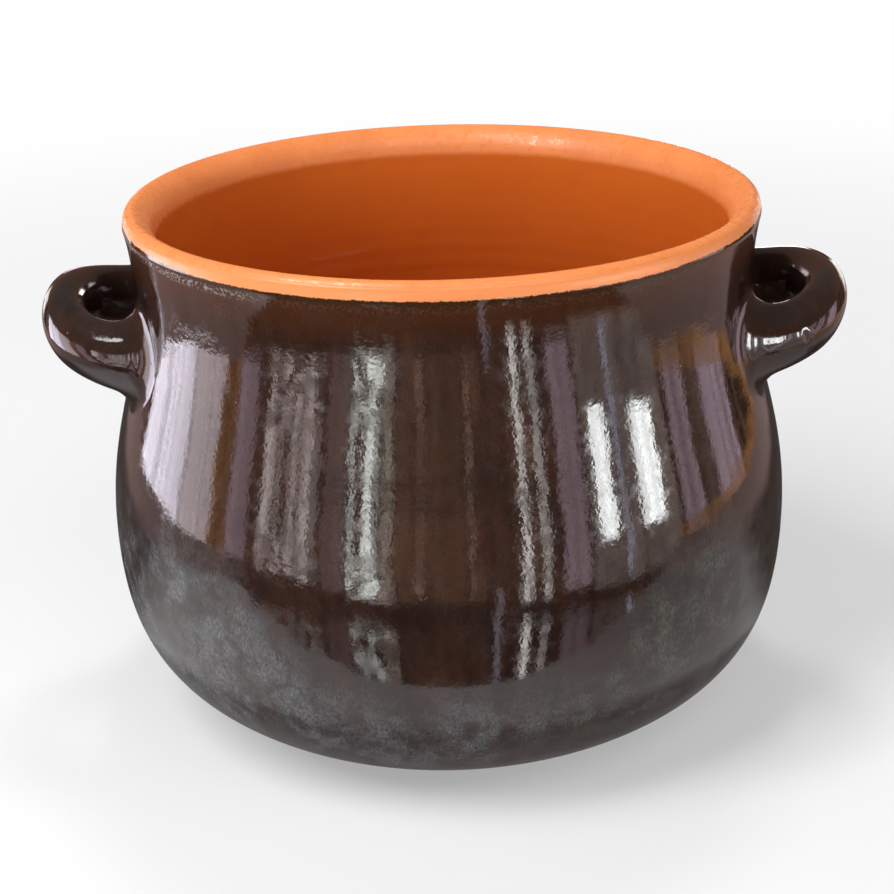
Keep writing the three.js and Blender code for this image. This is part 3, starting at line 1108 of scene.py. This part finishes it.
@dataclass(frozen=True)
class LoopHandle:
    """One loop handle: a roll of clay, bent out from the wall and back, under the brown glaze."""

    form: ThrownForm
    side: Side
    far_side: float
    wave_phase: float
    bubble: Bubble | None = None
    width: float = 13.5 * MM
    height: float = 18 * MM
    span: float = 57 * MM
    drop: float = 16 * MM
    lift: float = 6 * MM
    fullness: float = 0.62
    root_spread: float = 2.8 * MM
    root_length: float = 16 * MM
    root_depth: float = 1.2 * MM
    fillet: float = 6.5 * MM
    fillet_sink: float = 0.008 * MM
    columns: int = 72
    fillet_rows: int = 26
    loop_rows: int = 110
    line_pitch: float = 0.25 * MM
    steps: int = 14
    nudge: float = 0.2 * MM
    longest_step: float = 2 * MM
    least_slope: float = 0.2

    def middle_line(self) -> Array:
        """The middle of the roll from root to root, run on straight into the wall at both ends.

        Returns:
            Points at even steps on a cubic curve that leaves the wall along X and bends round, and on its
            mirror image in Y.
        """
        root_height = self.form.neck_height - self.drop
        wall = float(self.form.radius_at(np.array(root_height)))
        half = self.span / 2
        near, far = math.sqrt(wall**2 - half**2), self.far_side - self.width / 2
        top = root_height + self.lift
        bend = bezier([(near, -half, root_height), (near + self.fullness * (far - near), -half, root_height),
                       (far, -self.fullness * half, top), (far, 0, top)])
        front = np.concatenate([bend[:1] - [[self.width, 0, 0]], bend])
        return spaced(np.concatenate([front, front[-2::-1] * [1, -1, 1]]), self.line_pitch)

    def point(self, run: Array, turn: Array, extra: Array) -> Array:
        """Points on the roll, or a little way off it.

        A point stands off the middle line along a level and an upright direction, by the half width and half
        height of the oval roll, both made larger near the wall, where the roots spread on a parabola.

        Args:
            run: Length along the middle line from where it is buried.
            turn: Angle round the roll.
            extra: Distance off the roll.

        Returns:
            The points, in the frame of a handle that faces +X.
        """
        line = self.middle_line()
        own = run_of(line)
        along = np.gradient(line, axis=0)
        level = np.cross([0.0, 0.0, 1.0], along)
        level /= np.linalg.norm(level, axis=1, keepdims=True)
        upright = np.cross(along, level)
        upright /= np.linalg.norm(upright, axis=1, keepdims=True)
        near = line[:, 0].min() + self.width
        growth = self.root_spread * (1 - faded(line[:, 0] - near, self.root_length)) ** 2
        middle, sideways, rising = (at_runs(column, run, own) for column in (line, level, upright))
        more = np.interp(run, own, growth) + extra
        across = ((self.width / 2 + more) * np.cos(turn))[..., None]
        rise = ((self.height / 2 + more) * np.sin(turn))[..., None]
        return middle + across * sideways + rise * rising

    def off_wall(self, points: Array) -> Array:
        """How far points lie outside the wall, measured level."""
        x, y, height = np.moveaxis(points, -1, 0)
        angle = np.arctan2(y, x) + self.side.value
        return np.hypot(x, y) - self.form.radius_at(height) - self.form.by_hand(angle, height)

    def runs_at(self, turn: Array, extra: Array, gap: Array, start: float, sign: float) -> Array:
        """The lengths along the roll at which points with some extra radius lie at some gap from the wall.

        They are found by secant steps from a first guess, for all points at once.

        Args:
            turn: Angle round the roll.
            extra: Distance off the roll.
            gap: Distance off the wall.
            start: The first guess.
            sign: 1 at the first root and -1 at the last.

        Returns:
            The lengths.
        """
        nudge = sign * self.nudge
        run = np.full(np.broadcast(gap, turn).shape, start)
        for _ in range(self.steps):
            error = self.off_wall(self.point(run, turn, extra)) - gap
            slope = (self.off_wall(self.point(run + nudge, turn, extra)) - gap - error) / nudge
            slope = np.where(np.abs(slope) < self.least_slope, self.least_slope * sign, slope)
            run = run - np.clip(error / slope, -self.longest_step, self.longest_step)
        return run

    def grid(self) -> Array:
        """The glazed roll with a fillet at each root that runs out smoothly on to the wall.

        Over the fillet, the distance off the roll and the distance to the wall follow a curve of the fifth
        degree, whose first and last three controls lie in line, so that it starts and ends without a bend.
        The rows between the fillets are spread evenly along each line of the roll.

        Returns:
            Rows from root to root, each a ring round the roll, facing the handle's own side.
        """
        turn = full_turn(self.columns)
        curve = bezier([(1, 0), (0.7, 0), (0.4, 0), (0, 0.4), (0, 0.7), (0, 1)], self.fillet_rows - 1)
        extra, gap = self.fillet * curve[:, :1], self.fillet * curve[:, 1:] - self.fillet_sink
        extra, gap = np.concatenate([extra[:1], extra]), np.concatenate([gap[:1] - self.root_depth, gap])
        whole = run_of(self.middle_line())[-1]
        first = self.runs_at(turn, extra, gap, self.width, 1.0)
        last = self.runs_at(turn, extra, gap, whole - self.width, -1.0)
        share = np.linspace(0, 1, self.loop_rows + 2)[1:-1, None]
        between = first[-1:] + (last[-1:] - first[-1:]) * share
        run = np.concatenate([first, between, last[::-1]])
        off = np.concatenate([extra, np.zeros_like(share), extra[::-1]])
        off = off + self.unevenness(run / whole, turn)
        points = self.point(run, np.broadcast_to(turn, run.shape), off)
        c, s = math.cos(self.side.value), math.sin(self.side.value)
        return points @ np.array([[c, s, 0], [-s, c, 0], [0, 0, 1]])

    def unevenness(self, share: Array, turn: Array) -> Array:
        """How far a hand-rolled roll strays from even, and a bubble where it has one.

        Args:
            share: Place along the roll, from 0 to 1.
            turn: Angle round the roll.

        Returns:
            Distance off the roll: slow waves along and round it, which fade at its roots, and the bubble.
        """
        fade = np.sin(np.pi * np.clip(share, 0, 1)) ** 2
        waves = Wave(0.16 * MM, 1, 9, self.wave_phase), Wave(0.10 * MM, -2, 17, self.wave_phase)
        off = fade * sum(wave.at(turn, share) for wave in waves)
        return off + self.bubble.height(share, turn) if self.bubble else off

    def build(self, brown: Material, clay: Material, slip: Material) -> None:
        """Makes the handle's glaze, and dresses the clay roll and the beds of slip that it hides."""
        word = self.side.word
        shown(piece_of(f"{word}_handle_glaze", self.grid(), Ends.CAPS, brown), "brown_glaze", "brown_glaze")
        hidden = {f"{word}_handle": clay, f"{word}_front_slip": slip, f"{word}_back_slip": slip}
        for node, material in hidden.items():
            dressed(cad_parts[node], material)
            log.info("%s: its own solid, in %s", node, material.name)


@dataclass(frozen=True)
class Softbox:
    """A flat lamp that faces the pot, placed by its direction from it in degrees."""

    name: str
    azimuth: float
    elevation: float
    distance: float
    width: float
    height: float
    radiance: float
    mirrored: bool = True

    def place(self, target: Vector) -> None:
        """Makes the lamp. Its power is its radiance times pi times its area.

        Args:
            target: The point that it faces.
        """
        lamp = bpy.data.lights.new(self.name, "AREA")
        lamp.shape = "RECTANGLE"
        lamp.size, lamp.size_y = self.width, self.height
        lamp.energy = self.radiance * math.pi * self.width * self.height
        turn, rise = math.radians(self.azimuth), math.radians(self.elevation)
        way = Vector((math.sin(turn) * math.cos(rise), -math.cos(turn) * math.cos(rise), math.sin(rise)))
        holder = linked(self.name, lamp)
        holder.location = target + self.distance * way
        holder.rotation_euler = way.to_track_quat("Z", "Y").to_euler()
        holder.visible_camera = False
        holder.visible_glossy = self.mirrored


@dataclass(frozen=True)
class Panel:
    """An upright panel of the surround, between two angles from the front in degrees.

    It may start or stop at a distance from the pot, be broken up by blots, and show once more, as a share,
    in a band close to the pot.
    """

    start: float
    end: float
    colour: Colour
    near: float = 0.0
    far: float = 0.0
    broken: float = 0.0
    low: float = 0.0
    side_softness: float = 0.3
    near_softness: float = 0.03
    far_softness: float = 0.02
    band: tuple[float, float] = (0.28, 0.24)
    breaks: tuple[float, float] = (0.44, 0.58)

    def share(self, tree: Tree, angle: NodeSocket, distance: NodeSocket, blots: NodeSocket) -> NodeSocket:
        """How much of it shows at a place.

        Args:
            tree: The material's tree.
            angle: Angle from the front in degrees.
            distance: Distance from the pot's axis.
            blots: Noise that breaks it up.

        Returns:
            The socket with the share.
        """
        shares = [tree.ramp(angle, Ramp.about(self.start, self.side_softness)),
                  tree.ramp(angle, Ramp.about(self.end, -self.side_softness))]
        if self.near:
            band = tree.ramp(distance, Ramp(*self.band, 0.0, self.low))
            shares.append(tree.most(tree.ramp(distance, Ramp.about(self.near, self.near_softness)), band))
        if self.far:
            shares.append(tree.ramp(distance, Ramp.about(self.far, -self.far_softness)))
        if self.broken:
            shares.append(tree.ramp(blots, Ramp(*self.breaks, 1.0 - self.broken, 1.0)))
        return tree.times(*shares)


@dataclass(frozen=True)
class Surround:
    """Screens round the pot that only glossy surfaces mirror: a dark studio with paler upright panels.

    They lie flat outside the edge of a table and turn up into a wall far from the pot. Nearer, they veil a
    part of the
    table with painted shade: under the foot, behind the pot, to the right and at the sides. They throw no
    light and no shade.
    """

    view_point: float = -0.06
    foot: float = 66 * MM
    reach: float = 1.7
    height: float = 0.95
    lift: float = 0.4 * MM
    depth: float = 1 * MM
    thickness: float = 10 * MM
    columns: int = 96
    side_edge: Ramp = Ramp.about(0.455, 4 * MM)
    front_edge: Ramp = Ramp.about(-0.157, -2 * MM)
    back_edge: Ramp = Ramp.about(0.62, 50 * MM)
    top_edge: Ramp = Ramp(0.22, 0.33)
    sides: Ramp = Ramp(0.24, 0.31)
    # The veils paint shade on the table as it is mirrored: under the foot, behind the pot, to the right and
    # at the sides.
    side_veil: float = 0.85
    foot_veil: Ramp = Ramp(0.125, 0.105, 0.0, 0.72)
    back_veil: Ramp = Ramp(-0.05, 0.04, 0.0, 0.95)
    right_veil: Ramp = Ramp(0.02, 0.16, 0.0, 0.45)
    blot_size: float = 0.05
    blot_stretch: float = 0.35
    fold_size: float = 0.05
    folds: Ramp = Ramp(0.36, 0.60, 0.45, 1.0)
    haze_size: float = 0.07
    haze: Ramp = Ramp(0.40, 0.75)
    haze_reach: Ramp = Ramp(0.36, 0.46, 0.15, 1.0)
    dark: Colour = (0.030, 0.020, 0.017)
    shade: Colour = (0.50, 0.34, 0.32)
    dim: Colour = (0.60, 0.335, 0.24)
    upper: Colour = (0.20, 0.125, 0.095)

    @property
    def panels(self) -> tuple[Panel, ...]:
        """The panels from left to right, then those behind the pot."""
        lilac, mauve, amber = (7.6, 7.1, 8.1), (2.2, 1.65, 1.95), (1.45, 0.64, 0.20)
        beige, white = (9.4, 9.0, 8.6), (21.0, 21.8, 21.6)
        return (
            Panel(-122, -97, lilac),
            Panel(-97, -83, (4.8, 4.1, 4.3)),
            Panel(-83, -76, amber, broken=0.6),
            Panel(-76, -68, mauve, near=0.46, low=0.4),
            Panel(-64, -43, (6.0, 5.2, 5.1), near=0.45, broken=1.0, low=0.25),
            Panel(-41, -34, (1.1, 0.8, 0.8), near=0.42, low=0.4),
            Panel(-33, -23, (15.0, 16.0, 15.2), near=0.40, broken=1.0, low=0.3),
            Panel(-22.5, -18, (3.6, 3.2, 2.8), near=0.38, broken=0.8, low=0.9),
            Panel(-17, 12, (1.05, 0.56, 0.34), near=0.38, broken=0.8, low=0.3),
            Panel(-11, -8.5, (2.0, 1.3, 1.0), near=0.42, broken=1.0),
            Panel(-4, 4, (0.55, 0.32, 0.16), near=0.40, broken=0.5),
            Panel(6, 7.5, (1.9, 1.3, 1.05), near=0.42, broken=0.9),
            Panel(13.5, 16, (1.5, 1.4, 1.7), far=0.45),
            Panel(23, 25.2, beige, near=0.34, low=0.9),
            Panel(29, 31.5, (7.6, 7.2, 7.0), near=0.34, broken=0.6, low=0.5),
            Panel(36, 45, mauve, near=0.38, low=0.4),
            Panel(46, 79, (1.5, 1.26, 1.18), near=0.34, broken=0.4, low=0.4),
            Panel(57.5, 59.3, (2.8, 2.8, 3.6), near=0.36, low=0.7),
            Panel(49, 55, white, near=1.1),
            Panel(64.5, 73.5, white, near=1.1),
            Panel(81, 90, (2.1, 1.6, 1.9)),
            Panel(90, 98, (0.7, 0.5, 0.4), broken=0.6),
            Panel(98, 112, mauve),
            Panel(78, 131, amber, far=0.60, broken=0.3),
            Panel(140, 156, (2.6, 2.4, 2.3)),
            Panel(165, 171, beige),
            Panel(-172, -160, mauve),
            Panel(-150, -138, (3.0, 2.8, 2.9)),
        )

    def build(self) -> None:
        """Makes the screens as one turned shell: flat from near the foot out to the wall, up it and back."""
        inner, outer = self.reach, self.reach + self.thickness
        profile = np.array([(self.foot, self.lift), (inner, self.lift), (inner, self.height),
                            (outer, self.height), (outer, -self.depth), (self.foot, -self.depth)])
        screens = piece_of("studio_screens", turned(profile, self.columns), Ends.LOOP, self.finish())
        for rays in ("camera", "diffuse", "transmission", "volume_scatter", "shadow"):
            setattr(screens, "visible_" + rays, False)

    def finish(self) -> Material:
        """The screens' finish: dim streaks, the panels over them, and a veil of painted shade that lets the
        table through in part.

        Returns:
            The material.
        """
        surface = Surface("studio_screens")
        surface.material.cycles.emission_sampling = "NONE"
        tree, level = surface.tree, surface.level()
        x, y, z = surface.parts
        distance = tree.vector("LENGTH", level)
        across = tree.math("ABSOLUTE", x)
        past_edge = tree.most(tree.ramp(across, self.side_edge), tree.ramp(y, self.front_edge),
                              tree.ramp(y, self.back_edge))
        sides = tree.ramp(across, self.sides)
        veil = tree.most(tree.times(sides, self.side_veil), tree.ramp(distance, self.foot_veil),
                         tree.ramp(y, self.back_veil), tree.ramp(x, self.right_veil))
        colour = tree.layered(self.dark, (sides, self.shade),
                              (past_edge, self.pattern(tree, level, distance)),
                              (tree.ramp(z, self.top_edge), self.upper))
        clear = tree.add("BsdfTransparent").outputs[0]
        return surface.shining(tree.most(past_edge, veil), clear, colour)

    def pattern(self, tree: Tree, level: NodeSocket, distance: NodeSocket) -> NodeSocket:
        """The colours of the screens by the angle from the front, as seen from a point in the pot.

        Args:
            tree: The material's tree.
            level: Coordinates without their height.
            distance: Distance from the pot's axis.

        Returns:
            The socket with the colour.
        """
        ray = tree.vector("SUBTRACT", level, (0.0, self.view_point, 0.0))
        x, y, _ = tree.add("SeparateXYZ", {"Vector": ray}).outputs
        angle = tree.math("DEGREES", tree.math("ARCTAN2", x, tree.times(y, -1.0)))
        unit = tree.vector("NORMALIZE", ray)
        outward = tree.times(tree.math("LOGARITHM", distance, math.e), self.blot_stretch)
        polar = tree.vector("ADD", unit, tree.add("CombineXYZ", {"Z": outward}).outputs[0])
        blots = tree.noise(polar, self.blot_size, 5.0, 0.72)
        folds = tree.ramp(tree.noise(unit, self.fold_size, 3.0, 0.6), self.folds)
        hazy = tree.times(tree.ramp(distance, self.haze_reach),
                          tree.ramp(tree.noise(unit, self.haze_size, 4.0, 0.6), self.haze))
        shown_panels = ((tree.times(panel.share(tree, angle, distance, blots), folds), panel.colour)
                        for panel in self.panels)
        return tree.layered(self.dark, (hazy, self.dim), *shown_panels)


@dataclass(frozen=True)
class Studio:
    """A pale floor with soft lamps above it, the screens and the camera."""

    target: Vector
    floor_reach: float = 12.0
    floor_middle: float = 0.02
    floor_flat: float = 0.899
    floor_bend: float = 0.1
    floor_depth: float = 0.1
    floor_gap: float = 0.05 * MM
    floor_rows: int = 24
    bend_rows: int = 12
    columns: int = 128
    backdrop_height: float = 5.0
    floor_colour: Colour = (0.87, 0.87, 0.88)
    fade: Ramp = Ramp(0.14, 0.90, 0.35, 1.0)
    white: Colour = (1.0, 1.0, 1.0)
    sky: Colour = (0.14, 0.14, 0.145)
    frame_pixels: int = 894
    focal_pixels: float = 1718.0
    sensor: float = 36.0
    nearest: float = 0.01
    farthest: float = 30.0
    distance: float = 0.520
    elevation: float = math.radians(22.5)
    roll: float = math.radians(1.54)
    aim_drop: float = 1.7 * MM
    aim_left: float = 0.3 * MM
    lamps: tuple[Softbox, ...] = (
        Softbox("key", -52, 52, 1.25, 0.48, 0.80, 9.8),
        Softbox("top", 170, 72, 1.45, 0.26, 0.26, 22.0, mirrored=False),
        Softbox("fill", 25, 48, 1.6, 1.10, 0.60, 2.3),
        Softbox("front_fill", 2, 8, 1.4, 1.20, 0.45, 1.4, mirrored=False),
        Softbox("left_fill", -95, 20, 1.2, 0.55, 0.50, 2.4, mirrored=False),
        Softbox("right_fill", 72, 20, 1.2, 0.50, 0.45, 2.9, mirrored=False),
    )

    def floor(self) -> None:
        """Makes the floor: a wide disc, turned up at its rim into a backdrop, as a shell with a back."""
        reach, bend = self.floor_reach, self.floor_bend * self.floor_reach
        outer, under = reach + self.floor_depth, -self.floor_depth
        flat = np.geomspace(self.floor_middle, self.floor_flat * reach, self.floor_rows)
        rim = bezier([(reach - bend, 0), (reach, 0), (reach, bend)], self.bend_rows)
        back = [(reach, self.backdrop_height), (outer, self.backdrop_height), (outer, under),
                (self.floor_middle, under)]
        profile = np.concatenate([np.stack([flat, 0 * flat], axis=-1), rim, back]) - [0, self.floor_gap]
        disc = piece_of("pale_floor", turned(profile, self.columns), Ends.CAPS, self.floor_finish())

    def floor_finish(self) -> Material:
        """A pale matt floor that fades to white away from the pot, where it is seen or mirrored.

        Returns:
            The material.
        """
        surface = Surface("pale_floor")
        tree, shader = surface.tree, surface.shader
        tree.feed(shader, {"Base Color": self.floor_colour, "Roughness": 1.0, "Specular IOR Level": 0.0})
        far = tree.ramp(tree.vector("LENGTH", surface.where), self.fade)
        rays = tree.add("LightPath").outputs
        mirrored = tree.math("ADD", rays["Is Glossy Ray"], rays["Is Transmission Ray"])
        seen = tree.math("ADD", rays["Is Camera Ray"], mirrored)
        return surface.shining(tree.times(far, seen), shader.outputs[0], self.white)

    def camera(self) -> None:
        """Makes the camera: aimed at the pot from the front and above, and rolled a little."""
        rise = self.elevation
        place = self.target + self.distance * Vector((0, -math.cos(rise), math.sin(rise)))
        aim = self.target - Vector((self.aim_left, 0, self.aim_drop))
        look = (aim - place).to_track_quat("-Z", "Y").to_matrix().to_4x4()
        data = bpy.data.cameras.new("camera")
        data.sensor_width = self.sensor
        data.lens = self.focal_pixels / self.frame_pixels * self.sensor
        data.clip_start, data.clip_end = self.nearest, self.farthest
        holder = linked("camera", data)
        holder.matrix_world = Matrix.Translation(place) @ look @ Matrix.Rotation(-self.roll, 4, "Z")
        bpy.context.scene.camera = holder

    def build(self) -> None:
        """Sets up the floor, the screens, the sky, the lamps and the camera."""
        self.floor()
        Surround().build()
        world = bpy.data.worlds.new("sky")
        world.use_nodes = True
        Tree(world.node_tree).feed(world.node_tree.nodes["Background"], {"Color": self.sky})
        bpy.context.scene.world = world
        for lamp in self.lamps:
            lamp.place(self.target)
        self.camera()
        bpy.context.scene.view_settings.view_transform = "Standard"


def main() -> None:
    """Builds the pot piece by piece, then the studio round it."""
    logging.basicConfig(level=logging.INFO, format="%(name)s: %(message)s")
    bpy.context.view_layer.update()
    form = ThrownForm.from_frame()
    clear_glaze = ClearGlaze()
    brown = BrownGlaze().made(GlazeLine(form.rim_height - 0.2 * MM), clear_glaze.lip)
    clear = clear_glaze.made(form.lip_foot, form.floor)
    clay = BareClay("bare_terracotta", (0.62, 0.24, 0.10), (0.44, 0.13, 0.045), 0.5 * MM).made()
    slip = BareClay("fired_slip", (0.52, 0.19, 0.08), (0.38, 0.11, 0.04), 0.25 * MM).made()
    ThrownBody(form).build(brown, clear, clay)
    far_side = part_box("brown_glaze")[1].x
    LoopHandle(form, Side.LEFT, far_side, wave_phase=1.3).build(brown, clay, slip)
    LoopHandle(form, Side.RIGHT, far_side, wave_phase=4.1, bubble=Bubble()).build(brown, clay, slip)
    Studio(Vector((0, 0, 74 * MM))).build()


if __name__ == "__main__":
    main()
